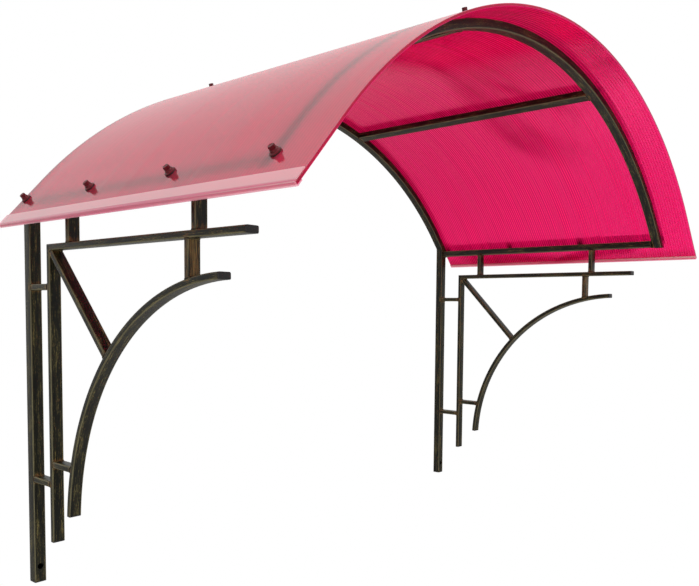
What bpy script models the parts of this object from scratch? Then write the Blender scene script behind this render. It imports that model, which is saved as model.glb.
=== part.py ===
"""Door canopy: an arched twin-wall sheet on a welded steel tube frame with two wall brackets.

Units are metres and +Z is up. The wall is the plane Y = 0 and the canopy stands out towards -Y.
X runs along the wall, and X = 0 is half way between the brackets. The origin lies on the wall, on
the middle of the rear arch's tube where the arch is highest.
"""
import math

import bmesh
import bpy
from mathutils import Matrix, Vector

# Clearance between pieces that meet
GAP = 0.0003

# Rectangular steel tube
WALL = 0.0015
CORNER_RADIUS = 0.0022
TUBE_WIDTH = 0.020
BRACKET_TUBE_DEPTH = 0.010
LEG_TUBE_DEPTH = 0.020
VAULT_TUBE_DEPTH = 0.015

# Vault frame: a round arch with straight ends, measured along the outer side of its tubes. The
# straight end is its length as far as the rail's upper outer edge.
ARCH_RADIUS = 0.7507
ARCH_STRAIGHT_END = 0.0558
BAYS_FROM_CROWN_TO_RAIL = 3
FRAME_DEPTH = 0.645
RAIL_OUTSET = 0.006

# Roof sheet and the strips over its open ends
SHEET_THICKNESS = 0.004
SHEET_REAR = 0.011
SHEET_FRONT_OVERHANG = 0.068
SHEET_SIDE_OVERHANG = 0.0545
PROFILE_WALL = 0.0015
PROFILE_OUTER_FLANGE = 0.0235
PROFILE_INNER_FLANGE = 0.0105

# Screws through the sheet
SCREW_REAR = 0.027
SCREW_INSET_FRONT = 0.005
SCREW_UPHILL_OF_RAIL_EDGE = 0.0045
RAIL_SCREWS = 4
SHANK_RADIUS = 0.0024
SHANK_END_CLEARANCE = 0.0015
POINT_LENGTH = 0.003
HOLE_CLEARANCE = 0.0004
SEAL_RADIUS = 0.0090
SEAL_HEIGHT = 0.0026
WASHER_RADIUS = 0.0058
WASHER_HEIGHT = 0.0030
HEAD_ACROSS_FLATS = 0.0080
HEAD_HEIGHT = 0.0055
HEAD_FLANGE_RADIUS = 0.0055
HEAD_FLANGE_HEIGHT = 0.0010

# Brackets: places across, out from the wall and down from the arm's top
FRAME_WIDTH = 1.200
ARM_REACH = 0.581
RAIL_RISE = 0.055
LEG_FOOT_DROP = 0.5765
UPRIGHT_OFFSET = 0.078
UPRIGHT_FOOT_DROP = 0.492
UPPER_SPACER_DROP = 0.069
LOWER_SPACER_DROP = 0.3955
ARC_SPACER_DROP = 0.361
ARC_RADIUS = 0.4074
ARC_CLEARANCE = 0.0445
ARC_FOOT_ANGLE = math.radians(3.6)
ARC_TIP_ANGLE = math.radians(87.9)
STRUT_OUT = 0.4595
REAR_RISER_OUT = 0.146
FRONT_RISER_OUT = 0.475
BOLT_HOLE_RADIUS = 0.0052
BOLT_HOLE_HEIGHT = 0.028

# End plugs
PLUG_CAP = 0.002
PLUG_BOSS = 0.007
PLUG_FIT = 0.0003

# Facets
CORNER_STEPS = 2
ARCH_STEPS = 48
ARC_STEPS = 24
ROUND_STEPS = 16

X, Y, Z = Vector((1, 0, 0)), Vector((0, 1, 0)), Vector((0, 0, 1))

VAULT_CENTRE = Vector((0, 0, VAULT_TUBE_DEPTH / 2 - ARCH_RADIUS))
SHEET_INNER_RADIUS = ARCH_RADIUS + GAP
SHEET_OUTER_RADIUS = SHEET_INNER_RADIUS + SHEET_THICKNESS
FRAME_INNER_RADIUS = ARCH_RADIUS - VAULT_TUBE_DEPTH
FRONT_ARCH_OUT = FRAME_DEPTH - TUBE_WIDTH
SHEET_DEPTH = FRAME_DEPTH + SHEET_FRONT_OVERHANG - SHEET_REAR
BRACKET_X = FRAME_WIDTH / 2 - TUBE_WIDTH / 2

# The rails lie level on the brackets, and the upper outer edge of each touches the sheet. This edge
# is a quarter round. Its centre lies beside the straight end of the arch, so the angle of that end
# follows from the width of the frame. Both coordinates are seen from the vault's centre.
EDGE_X = FRAME_WIDTH / 2 + RAIL_OUTSET - CORNER_RADIUS
EDGE_REACH = ARCH_RADIUS - CORNER_RADIUS
ARCH_HALF_ANGLE = (math.asin(EDGE_X / math.hypot(EDGE_REACH, ARCH_STRAIGHT_END))
                   - math.atan2(ARCH_STRAIGHT_END, EDGE_REACH))
EDGE_Z = EDGE_REACH * math.cos(ARCH_HALF_ANGLE) - ARCH_STRAIGHT_END * math.sin(ARCH_HALF_ANGLE)
ARCH_TURN = ARCH_RADIUS * ARCH_HALF_ANGLE
EDGE_ALONG = ARCH_TURN + ARCH_STRAIGHT_END
RAIL_BOTTOM = EDGE_Z + CORNER_RADIUS - VAULT_TUBE_DEPTH
PURLIN_ALONG = EDGE_ALONG / BAYS_FROM_CROWN_TO_RAIL
SHEET_HALF_LENGTH = EDGE_ALONG + SHEET_SIDE_OVERHANG
ARM_TOP = VAULT_CENTRE.z + RAIL_BOTTOM - RAIL_RISE


def clear_scene():
    """Removes every object that the file opened with."""
    for obj in list(bpy.data.objects):
        bpy.data.objects.remove(obj)


def collection(name):
    made = bpy.data.collections.new(name)
    bpy.context.scene.collection.children.link(made)
    return made


def material(name, colour, roughness, metallic=0.0):
    made = bpy.data.materials.new(name)
    made.use_nodes = True
    shader = made.node_tree.nodes["Principled BSDF"]
    shader.inputs["Base Color"].default_value = (*colour, 1.0)
    shader.inputs["Roughness"].default_value = roughness
    shader.inputs["Metallic"].default_value = metallic
    return made


def group(name, location):
    """An empty that carries the pieces of one sub-assembly."""
    empty = bpy.data.objects.new(name, None)
    empty.location = location
    PARTS.objects.link(empty)
    return empty


def piece(name, bm_or_mesh, parent, location, finish):
    """Makes a named object of its own from a bmesh or from another piece's mesh."""
    mesh = bm_or_mesh
    if isinstance(bm_or_mesh, bmesh.types.BMesh):
        mesh = bpy.data.meshes.new(name)
        bmesh.ops.recalc_face_normals(bm_or_mesh, faces=bm_or_mesh.faces)
        bm_or_mesh.to_mesh(mesh)
        bm_or_mesh.free()
        mesh.materials.append(finish)
        mesh.shade_smooth()
        mesh.set_sharp_from_angle(angle=math.radians(40))
    obj = bpy.data.objects.new(name, mesh)
    obj.parent = parent
    obj.location = location
    PARTS.objects.link(obj)
    return obj


def cut(target, name, bm, parent, location):
    """Subtracts a closed shape from a piece."""
    mesh = bpy.data.meshes.new(name)
    bmesh.ops.recalc_face_normals(bm, faces=bm.faces)
    bm.to_mesh(mesh)
    bm.free()
    cutter = bpy.data.objects.new(name, mesh)
    cutter.parent = parent
    cutter.location = location
    cutter.hide_render = True
    cutter.display_type = "WIRE"
    CUTTERS.objects.link(cutter)
    boolean = target.modifiers.new(name, "BOOLEAN")
    boolean.operation = "DIFFERENCE"
    boolean.solver = "EXACT"
    boolean.object = cutter


def rounded_rectangle(width, height, radius, steps=CORNER_STEPS):
    """Points of a rectangle with round corners, centred on zero."""
    points = []
    for quarter, (sx, sy) in enumerate(((1, 1), (-1, 1), (-1, -1), (1, -1))):
        cx, cy = sx * (width / 2 - radius), sy * (height / 2 - radius)
        for step in range(steps + 1):
            angle = math.pi / 2 * (quarter + step / steps)
            points.append((cx + radius * math.cos(angle), cy + radius * math.sin(angle)))
    return points


def tube_section(bm, width, depth, across, up):
    """The cut face of a rectangular tube: a ring of faces around the origin."""
    edges = []
    for inset in (0.0, WALL):
        outline = rounded_rectangle(width - 2 * inset, depth - 2 * inset, CORNER_RADIUS - inset)
        verts = [bm.verts.new(across * u + up * v) for u, v in outline]
        edges += [bm.edges.new(pair) for pair in zip(verts, verts[1:] + verts[:1])]
    return bmesh.ops.bridge_loops(bm, edges=edges)["faces"]


def with_edges(faces):
    return list(faces) + list({edge for face in faces for edge in face.edges})


def extend(bm, faces, offset):
    """Draws the tube out from its end face, and gives back the new end face."""
    made = bmesh.ops.extrude_face_region(bm, geom=with_edges(faces))["geom"]
    bmesh.ops.translate(bm, vec=offset, verts=[g for g in made if isinstance(g, bmesh.types.BMVert)])
    return [g for g in made if isinstance(g, bmesh.types.BMFace)]


def bend(bm, faces, centre, axis, angle, steps):
    """Rolls the tube round a centre, and gives back the new end face."""
    made = bmesh.ops.spin(bm, geom=with_edges(faces), cent=centre, axis=axis, angle=angle, steps=steps)
    return [g for g in made["geom_last"] if isinstance(g, bmesh.types.BMFace)]


def slide_to_plane(verts, direction, point, normal):
    """Cuts a tube's end to a plane by sliding its corners along the tube."""
    for vert in verts:
        vert.co += direction * ((point - vert.co).dot(normal) / direction.dot(normal))


def end_verts(faces):
    return {vert for face in faces for vert in face.verts}


def straight_tube(size, start, end, across, start_cuts=None, end_cuts=None):
    """A tube from start to end as a bmesh around its start.

    size is its width along across and its depth. A cut is a (point, normal) plane in the same
    frame as start and end. Two cuts at one end make a point: each corner takes the nearer side.
    """
    bm = bmesh.new()
    run = end - start
    direction = run.normalized()
    up = direction.cross(across).normalized()
    near = tube_section(bm, *size, across, up)
    near_verts = end_verts(near)
    far_verts = end_verts(extend(bm, near, run))
    for verts, cuts, foot in ((near_verts, start_cuts, Vector()), (far_verts, end_cuts, run)):
        for number, (point, normal) in enumerate(cuts or []):
            side = 1 - 2 * number
            chosen = verts if len(cuts) == 1 else [v for v in verts if side * (v.co - foot).dot(up) > 0]
            slide_to_plane(chosen, direction, point - start, normal)
    return bm


def block(size, centre):
    """A box as a bmesh."""
    bm = bmesh.new()
    bmesh.ops.create_cube(bm, size=1.0, matrix=Matrix.Translation(centre) @ Matrix.Diagonal((*size, 1.0)))
    return bm


def cylinder(radius, length, axis, centre):
    """A closed cylinder as a bmesh, centred on a point and lying along an axis."""
    bm = bmesh.new()
    turn = Z.rotation_difference(axis).to_matrix().to_4x4()
    bmesh.ops.create_cone(bm, cap_ends=True, segments=ROUND_STEPS, radius1=radius, radius2=radius,
                          depth=length, matrix=Matrix.Translation(centre) @ turn)
    return bm


def end_plug(width, depth, outward, across):
    """A push-in plug: a cap over the tube's end and a boss inside it, from a point on the tube's end."""
    bm = bmesh.new()
    up = outward.cross(across)
    outline = rounded_rectangle(width, depth, CORNER_RADIUS)
    face = bm.faces.new([bm.verts.new(across * u + up * v + outward * (GAP + PLUG_CAP)) for u, v in outline])
    inner = extend(bm, [face], -outward * PLUG_CAP)
    bmesh.ops.inset_region(bm, faces=inner, thickness=WALL + PLUG_FIT, use_even_offset=True)
    extend(bm, inner, -outward * PLUG_BOSS)
    return bm


def vault_frame(along):
    """Outward normal and downhill direction of the vault at a length along it from the crown."""
    angle = max(-ARCH_HALF_ANGLE, min(ARCH_HALF_ANGLE, along / ARCH_RADIUS))
    normal = Vector((math.sin(angle), 0, math.cos(angle)))
    return normal, Vector((math.cos(angle), 0, -math.sin(angle)))


def vault_point(along, radius):
    """Point at a length along the vault from its crown, on the shell of the given radius."""
    normal, downhill = vault_frame(along)
    spare = max(0.0, abs(along) - ARCH_TURN)
    return normal * radius + downhill * math.copysign(spare, along)


def vault_outline(half_length, inner, outer, steps):
    """Closed outline across the vault between two shells, as (x, z) points about its centre."""
    bends = [ARCH_TURN * (2 * k / steps - 1) for k in range(steps + 1)]
    stations = [-half_length] + bends + [half_length]
    top = [vault_point(s, outer) for s in stations]
    return top + [vault_point(s, inner) for s in reversed(stations)]


def extruded_outline(name, outline, depth):
    """A flat outline in the XZ plane, drawn from Y = 0 to Y = -depth, as a closed mesh."""
    curve = bpy.data.curves.new(name, "CURVE")
    curve.dimensions = "2D"
    curve.fill_mode = "BOTH"
    curve.extrude = depth / 2
    spline = curve.splines.new("POLY")
    spline.points.add(len(outline) - 1)
    spline.use_cyclic_u = True
    for point, place in zip(spline.points, outline):
        point.co = (place.x, place.z, 0, 1)
    source = bpy.data.objects.new(name, curve)
    bpy.context.scene.collection.objects.link(source)
    evaluated = source.evaluated_get(bpy.context.evaluated_depsgraph_get())
    bm = bmesh.new()
    bm.from_mesh(evaluated.to_mesh())
    bpy.data.objects.remove(source)
    bpy.data.curves.remove(curve)
    bmesh.ops.remove_doubles(bm, verts=bm.verts, dist=0.00001)
    bmesh.ops.rotate(bm, verts=bm.verts, matrix=Matrix.Rotation(math.pi / 2, 3, "X"))
    bmesh.ops.translate(bm, verts=bm.verts, vec=(0, -depth / 2, 0))
    return bm


def arch(name, out_from_wall):
    """One arch: straight end, round middle, straight end. Its ends are cut level with the rails."""
    middle_radius = ARCH_RADIUS - VAULT_TUBE_DEPTH / 2
    start = vault_point(-EDGE_ALONG, middle_radius)
    turn_start = vault_point(-ARCH_TURN, middle_radius)
    normal, downhill = vault_frame(-EDGE_ALONG)
    bm = bmesh.new()
    near = tube_section(bm, TUBE_WIDTH, VAULT_TUBE_DEPTH, Y, normal)
    bmesh.ops.translate(bm, verts=bm.verts, vec=start)
    near_verts = end_verts(near)
    face = extend(bm, near, turn_start - start)
    face = bend(bm, face, Vector(), Y, 2 * ARCH_HALF_ANGLE, ARCH_STEPS)
    far = extend(bm, face, (start - turn_start) * Vector((-1, 1, 1)))
    slide_to_plane(near_verts, downhill, Z * RAIL_BOTTOM, Z)
    slide_to_plane(end_verts(far), downhill * Vector((-1, 1, 1)), Z * RAIL_BOTTOM, Z)
    return piece(name, bm, VAULT, (0, -out_from_wall - TUBE_WIDTH / 2, 0), STEEL)


def vault_bar(name, centre, across):
    """A straight tube between the two arches, with its wide side along across."""
    start = centre - Y * (TUBE_WIDTH + GAP)
    end = centre - Y * (FRONT_ARCH_OUT - GAP)
    return piece(name, straight_tube((TUBE_WIDTH, VAULT_TUBE_DEPTH), start, end, across), VAULT, start,
                 STEEL)


def rail(name, side):
    centre = Vector((side * (FRAME_WIDTH / 2 + RAIL_OUTSET - TUBE_WIDTH / 2), 0,
                     RAIL_BOTTOM + VAULT_TUBE_DEPTH / 2))
    return vault_bar(name, centre, X)


def purlin(name, side):
    """A tube that lies flat under the sheet."""
    _, downhill = vault_frame(side * PURLIN_ALONG)
    return vault_bar(name, vault_point(side * PURLIN_ALONG, ARCH_RADIUS - VAULT_TUBE_DEPTH / 2), downhill)


def roof_sheet():
    """The twin-wall sheet as one slab of its outer shape."""
    outline = vault_outline(SHEET_HALF_LENGTH, SHEET_INNER_RADIUS, SHEET_OUTER_RADIUS, ARCH_STEPS)
    return piece("roof_sheet", extruded_outline("roof_sheet", outline, SHEET_DEPTH), VAULT,
                 (0, -SHEET_REAR, 0), SHEET)


def end_profile(name, side):
    """The U shaped strip over the open cells along one lower end of the sheet."""
    inner = SHEET_INNER_RADIUS - GAP
    outer = SHEET_OUTER_RADIUS + GAP
    end = SHEET_HALF_LENGTH + GAP
    tip = end + PROFILE_WALL
    outer_lip = tip - PROFILE_OUTER_FLANGE
    inner_lip = tip - PROFILE_INNER_FLANGE
    corners = ((outer_lip, outer + PROFILE_WALL), (tip, outer + PROFILE_WALL),
               (tip, inner - PROFILE_WALL), (inner_lip, inner - PROFILE_WALL), (inner_lip, inner),
               (end, inner), (end, outer), (outer_lip, outer))
    outline = [vault_point(side * along, radius) for along, radius in corners]
    return piece(name, extruded_outline(name, outline, SHEET_DEPTH), VAULT, (0, -SHEET_REAR, 0), STRIP)


def screw_mesh():
    """A hexagon head screw with its washer and rubber seal, turned about Z with the seal's foot at zero.

    The turned outline runs from the centre of the head down to the point. The head above its flange
    is a hexagonal prism that is joined to the turned part.
    """
    seal_top = SEAL_HEIGHT
    washer_top = seal_top + WASHER_HEIGHT
    flange_top = washer_top + HEAD_FLANGE_HEIGHT
    shank_end = -(SHEET_THICKNESS + 2 * GAP + VAULT_TUBE_DEPTH - WALL - SHANK_END_CLEARANCE)
    waist = (HEAD_ACROSS_FLATS / 2 + WASHER_RADIUS) / 2
    profile = ((0, flange_top), (HEAD_FLANGE_RADIUS, flange_top), (HEAD_FLANGE_RADIUS, washer_top),
               (waist, washer_top), (WASHER_RADIUS, seal_top), (SEAL_RADIUS, seal_top), (SEAL_RADIUS, 0),
               (SHANK_RADIUS, 0), (SHANK_RADIUS, shank_end + POINT_LENGTH), (0, shank_end))
    bm = bmesh.new()
    verts = [bm.verts.new((radius, 0, height)) for radius, height in profile]
    edges = [bm.edges.new(pair) for pair in zip(verts, verts[1:])]
    bmesh.ops.spin(bm, geom=verts + edges, cent=(0, 0, 0), axis=(0, 0, 1), angle=2 * math.pi,
                   steps=ROUND_STEPS)
    bmesh.ops.remove_doubles(bm, verts=bm.verts, dist=0.00001)
    crown = min(bm.verts, key=lambda v: (v.co - Z * flange_top).length)
    ring = [f for f in bm.faces if crown in f.verts]
    bmesh.ops.delete(bm, geom=[crown], context="VERTS")
    rim = [e for e in bm.edges if e.is_boundary]
    hexagon = []
    for corner in range(6):
        angle = math.pi / 3 * corner
        reach = HEAD_ACROSS_FLATS / 2 / math.cos(math.pi / 6)
        hexagon.append(bm.verts.new((reach * math.cos(angle), reach * math.sin(angle), flange_top)))
    inner = [bm.edges.new(pair) for pair in zip(hexagon, hexagon[1:] + hexagon[:1])]
    bmesh.ops.bridge_loops(bm, edges=rim + inner)
    top = bm.faces.new(hexagon)
    extend(bm, [top], Z * HEAD_HEIGHT)
    return bm


def screw_places():
    """The bar under every screw, its length along the vault and its distance from the wall."""
    front = FRAME_DEPTH - SCREW_INSET_FRONT
    pitch = (front - SCREW_REAR) / (RAIL_SCREWS - 1)
    rail_rows = [SCREW_REAR + pitch * k for k in range(RAIL_SCREWS)]
    rail_along = EDGE_ALONG - SCREW_UPHILL_OF_RAIL_EDGE
    for bar, along, rows in (("left_rail", -rail_along, rail_rows),
                             ("left_purlin", -PURLIN_ALONG, (SCREW_REAR, front)),
                             ("right_purlin", PURLIN_ALONG, (SCREW_REAR, front)),
                             ("right_rail", rail_along, rail_rows)):
        for out in rows:
            yield bar, along, out


def add_screws(sheet, tubes):
    """Places the screws and drills the sheet and the tube behind each of them."""
    mesh = None
    hole_length = 2 * (SHEET_THICKNESS + VAULT_TUBE_DEPTH - WALL - GAP)
    for number, (bar, along, out) in enumerate(screw_places(), start=1):
        normal, _ = vault_frame(along)
        seat = vault_point(along, SHEET_OUTER_RADIUS + GAP) - Y * out
        name = f"screw_{number:02d}"
        obj = piece(name, mesh or screw_mesh(), VAULT, seat, ZINC)
        mesh = obj.data
        obj.rotation_euler = Z.rotation_difference(normal).to_euler()
        behind = tubes["front_arch" if out > FRONT_ARCH_OUT else bar]
        for target in (sheet, behind):
            hole = cylinder(SHANK_RADIUS + HOLE_CLEARANCE, hole_length, normal, Vector())
            cut(target, f"{name}_hole_{target.name}", hole, VAULT, seat)


def bracket(side_name, side):
    """One wall bracket, in a frame with Y = 0 on the wall and Z = 0 on the arm's top."""
    root = group(f"bracket_{side_name}", (side * BRACKET_X, 0, ARM_TOP))
    flat = (TUBE_WIDTH, BRACKET_TUBE_DEPTH)
    half = BRACKET_TUBE_DEPTH / 2
    upright_front = UPRIGHT_OFFSET + BRACKET_TUBE_DEPTH

    def out(distance, drop):
        return Vector((0, -distance, -drop))

    def add(name, bm, place):
        return piece(f"{side_name}_{name}", bm, root, place, STEEL)

    def plug(name, size, place, outward):
        piece(f"{side_name}_{name}", end_plug(*size, outward, X), root, place, PLUG)

    # The leg's top is cut to the slope of the rear arch's inner side
    slope, _ = vault_frame(side * EDGE_ALONG)
    under_arch = vault_point(side * EDGE_ALONG, FRAME_INNER_RADIUS - GAP) + VAULT_CENTRE - root.location
    leg_size = (TUBE_WIDTH, LEG_TUBE_DEPTH)
    leg_foot = out(LEG_TUBE_DEPTH / 2, LEG_FOOT_DROP - PLUG_CAP - GAP)
    leg = add("wall_leg", straight_tube(leg_size, leg_foot, out(LEG_TUBE_DEPTH / 2, 0), X,
                                        end_cuts=[(under_arch, slope)]), leg_foot)
    bolt_axis = out(LEG_TUBE_DEPTH / 2, LEG_FOOT_DROP - BOLT_HOLE_HEIGHT)
    cut(leg, f"{side_name}_bolt_hole", cylinder(BOLT_HOLE_RADIUS, 2 * LEG_TUBE_DEPTH, Y, Vector()),
        root, bolt_axis)
    plug("wall_leg_plug", leg_size, leg_foot, -Z)

    # Upright and arm meet in a mitre; each gives up half of the gap
    mitre = Vector((0, 1, -1)).normalized()
    corner = out(UPRIGHT_OFFSET, 0)
    upright_foot = out(UPRIGHT_OFFSET + half, UPRIGHT_FOOT_DROP - PLUG_CAP - GAP)
    add("upright", straight_tube(flat, upright_foot, out(UPRIGHT_OFFSET + half, 0), X,
                                 end_cuts=[(corner + mitre * GAP / 2, mitre)]), upright_foot)
    plug("upright_plug", flat, upright_foot, -Z)
    arm_tip = out(ARM_REACH - PLUG_CAP - GAP, half)
    arm_root = out(UPRIGHT_OFFSET, half)
    add("arm", straight_tube(flat, arm_root, arm_tip, X, start_cuts=[(corner - mitre * GAP / 2, mitre)]),
        arm_root)
    plug("arm_plug", flat, arm_tip, -Y)

    for name, drop in (("upper_spacer", UPPER_SPACER_DROP), ("lower_spacer", LOWER_SPACER_DROP)):
        start = out(LEG_TUBE_DEPTH + GAP, drop)
        add(name, straight_tube(flat, start, out(UPRIGHT_OFFSET - GAP, drop), X), start)

    # The arc is rolled on the flat, and keeps the same clearance from the upright and from the arm
    reach = ARC_CLEARANCE + ARC_RADIUS
    centre = out(upright_front + reach, BRACKET_TUBE_DEPTH + reach)

    def arc_ray(angle):
        return Vector((0, math.cos(angle), math.sin(angle)))

    middle = ARC_RADIUS - half
    bm = bmesh.new()
    face = tube_section(bm, TUBE_WIDTH, BRACKET_TUBE_DEPTH, X, arc_ray(ARC_FOOT_ANGLE))
    bmesh.ops.translate(bm, verts=bm.verts, vec=arc_ray(ARC_FOOT_ANGLE) * middle)
    bend(bm, face, Vector(), X, ARC_TIP_ANGLE - ARC_FOOT_ANGLE, ARC_STEPS)
    add("arc", bm, centre)
    for name, angle, turn in (("arc_foot_plug", ARC_FOOT_ANGLE, -1), ("arc_tip_plug", ARC_TIP_ANGLE, 1)):
        outward = arc_ray(angle + turn * math.pi / 2)
        plug(name, flat, centre + arc_ray(angle) * middle, outward)

    def on_arc(ray):
        """The tangent plane of the arc's outer side where a ray from its centre leaves it."""
        return centre + ray * (ARC_RADIUS + GAP), ray

    # The brace runs from the corner of upright and arm straight to the arc's centre
    inner_corner = out(upright_front, BRACKET_TUBE_DEPTH)
    ray = (inner_corner - centre).normalized()
    point, normal = on_arc(ray)
    brace_cuts = [(inner_corner - Z * GAP, Z), (inner_corner - Y * GAP, Y)]
    add("brace", straight_tube(flat, inner_corner, point, X, start_cuts=brace_cuts,
                               end_cuts=[(point, normal)]), inner_corner)

    rise = -ARC_SPACER_DROP - centre.z
    ray = Vector((0, math.sqrt(ARC_RADIUS ** 2 - rise ** 2), rise)).normalized()
    start = out(upright_front + GAP, ARC_SPACER_DROP)
    point, normal = on_arc(ray)
    add("arc_spacer", straight_tube(flat, start, out(upright_front + ARC_CLEARANCE, ARC_SPACER_DROP), X,
                                    end_cuts=[(point, normal)]), start)

    inset = -STRUT_OUT - centre.y
    ray = Vector((0, inset, math.sqrt(ARC_RADIUS ** 2 - inset ** 2))).normalized()
    start = out(STRUT_OUT, BRACKET_TUBE_DEPTH + GAP)
    add("arc_strut", straight_tube(flat, start, out(STRUT_OUT, 2 * BRACKET_TUBE_DEPTH), X,
                                   end_cuts=[on_arc(ray)]), start)

    for name, distance in (("rear_riser", REAR_RISER_OUT), ("front_riser", FRONT_RISER_OUT)):
        start = out(distance, -GAP)
        add(name, straight_tube(flat, start, out(distance, GAP - RAIL_RISE), X), start)


clear_scene()
PARTS = collection("door_canopy")
CUTTERS = collection("cutters")
STEEL = material("patina_painted_steel", (0.045, 0.037, 0.026), 0.5, 0.3)
SHEET = material("crimson_polycarbonate", (0.62, 0.02, 0.12), 0.15)
STRIP = material("clear_end_strip", (0.80, 0.42, 0.46), 0.25)
ZINC = material("coated_screw", (0.10, 0.02, 0.02), 0.4, 0.6)
PLUG = material("plastic_plug", (0.03, 0.03, 0.035), 0.45)

VAULT = group("vault", VAULT_CENTRE)
arch("rear_arch", 0.0)
tubes = {tube.name: tube for tube in (arch("front_arch", FRONT_ARCH_OUT), rail("left_rail", -1),
                                      purlin("left_purlin", -1), purlin("right_purlin", 1),
                                      rail("right_rail", 1))}
add_screws(roof_sheet(), tubes)
end_profile("left_end_profile", -1)
end_profile("right_end_profile", 1)
bracket("left", -1)
bracket("right", 1)
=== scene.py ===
"""Looks of a door canopy: a crimson twin-wall sheet on a welded tube frame with two wall brackets.

Metres, +Z up. The wall is the plane Y = 0, the canopy stands out towards -Y, and X = 0 is half way
between the brackets. Every piece is made in place, so each object sits at the origin unturned.
"""
import logging
import math
from dataclasses import dataclass, field, replace
from enum import Enum

import bmesh
import bpy
import numpy as np
from mathutils import Matrix, Vector


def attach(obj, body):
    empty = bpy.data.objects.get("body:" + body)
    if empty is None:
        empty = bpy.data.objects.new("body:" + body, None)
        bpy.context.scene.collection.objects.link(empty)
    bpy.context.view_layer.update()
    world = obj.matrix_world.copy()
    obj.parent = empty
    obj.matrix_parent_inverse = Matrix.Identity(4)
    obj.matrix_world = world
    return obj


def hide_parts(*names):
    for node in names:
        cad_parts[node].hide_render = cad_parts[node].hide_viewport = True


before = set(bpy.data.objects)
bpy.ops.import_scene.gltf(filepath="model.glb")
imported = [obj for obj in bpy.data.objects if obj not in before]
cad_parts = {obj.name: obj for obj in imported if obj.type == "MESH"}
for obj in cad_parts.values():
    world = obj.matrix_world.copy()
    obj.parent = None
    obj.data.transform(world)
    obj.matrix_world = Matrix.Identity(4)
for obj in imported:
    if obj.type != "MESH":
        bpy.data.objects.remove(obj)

LOG = logging.getLogger("door_canopy")
BODY = "root"

# Maps that finishes read: metres along and around a piece, corners, and places near a weld
RUN_MAP = "run"
# The corner map also carries the patina paint's painted highlight on the rounded edges
WEAR = "corner_wear"
HEAT = "weld_touch_up"

# Nodes that a new material has
PRINCIPLED = "Principled BSDF"
OUTPUT = "Material Output"

WHITE = (1.0, 1.0, 1.0, 1.0)
# Range that a noise seldom leaves
NOISE_SPAN = (0.3, 0.7)
# Points nearer than this are merged
MERGED = 0.000002
# Degrees above which an edge stays sharp
SHARP = 32.0
# Rows of a straight tube stand about this far apart
ROW_SPACING = 0.006

Array = np.ndarray
Tree = bpy.types.NodeTree
Node = bpy.types.Node
Socket = bpy.types.NodeSocket
Cover = tuple[float, float, float]


class Side(Enum):
    """The two ends of the canopy, with the sign of X on each."""

    LEFT = -1
    RIGHT = 1

    @property
    def label(self) -> str:
        """The word that node names start with."""
        return self.name.lower()


# Materials


def linear(hex_colour: str) -> tuple[float, float, float, float]:
    """Turns an sRGB colour into the linear values that a shader takes.

    Args:
        hex_colour: Six hex digits after a hash sign.

    Returns:
        Linear red, green and blue, and an alpha of 1.
    """
    parts = [int(hex_colour[k:k + 2], 16) / 255 for k in (1, 3, 5)]
    red, green, blue = (c / 12.92 if c <= 0.04045 else ((c + 0.055) / 1.055) ** 2.4 for c in parts)
    return red, green, blue, 1.0


def fill(node: Node, values: dict | tuple) -> None:
    """Sets a node's input sockets, and links those whose value is an output socket.

    Args:
        node: The node.
        values: Values by socket name or number, or in the order of the sockets.
    """
    named = values if isinstance(values, dict) else dict(enumerate(values))
    for key, value in named.items():
        if isinstance(value, Socket):
            node.id_data.links.new(value, node.inputs[key])
        else:
            node.inputs[key].default_value = value


def add_node(tree: Tree, kind: str, values: dict | tuple = (), take: int | str = 0,
             **settings: object) -> Socket:
    """Adds a node with its settings, socket values and links.

    Args:
        tree: Node tree that gets the node.
        kind: Blender's name of the node type, after the word ShaderNode.
        values: Values for its input sockets, as fill takes them.
        take: Number or name of the output to give back.
        settings: Properties of the node itself.

    Returns:
        The output socket.
    """
    made = tree.nodes.new("ShaderNode" + kind)
    for key, value in settings.items():
        setattr(made, key, value)
    fill(made, values)
    return made.outputs[take]


def set_ramp(ramp: Node, stops: tuple[tuple[float, str], tuple[float, str]]) -> None:
    """Sets the two stops of a new colour ramp.

    Args:
        ramp: The colour ramp node.
        stops: Place from 0 to 1, and the sRGB colour there.
    """
    for element, (place, colour) in zip(ramp.color_ramp.elements, stops):
        element.position = place
        element.color = linear(colour)


@dataclass(frozen=True)
class Finish:
    """A finish that becomes one Blender material. Subclasses add what the surface shows."""

    name: str

    def material(self) -> bpy.types.Material:
        """Builds the material on its first use, and gives the same one back after that.

        Returns:
            The material.
        """
        made = bpy.data.materials.get(self.name)
        if made is None:
            made = bpy.data.materials.new(self.name)
            made.use_nodes = True
            self.dress(made.node_tree)
        return made

    def dress(self, tree: Tree) -> None:
        """Fills in the node tree.

        Args:
            tree: The material's nodes.
        """
        raise NotImplementedError


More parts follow.
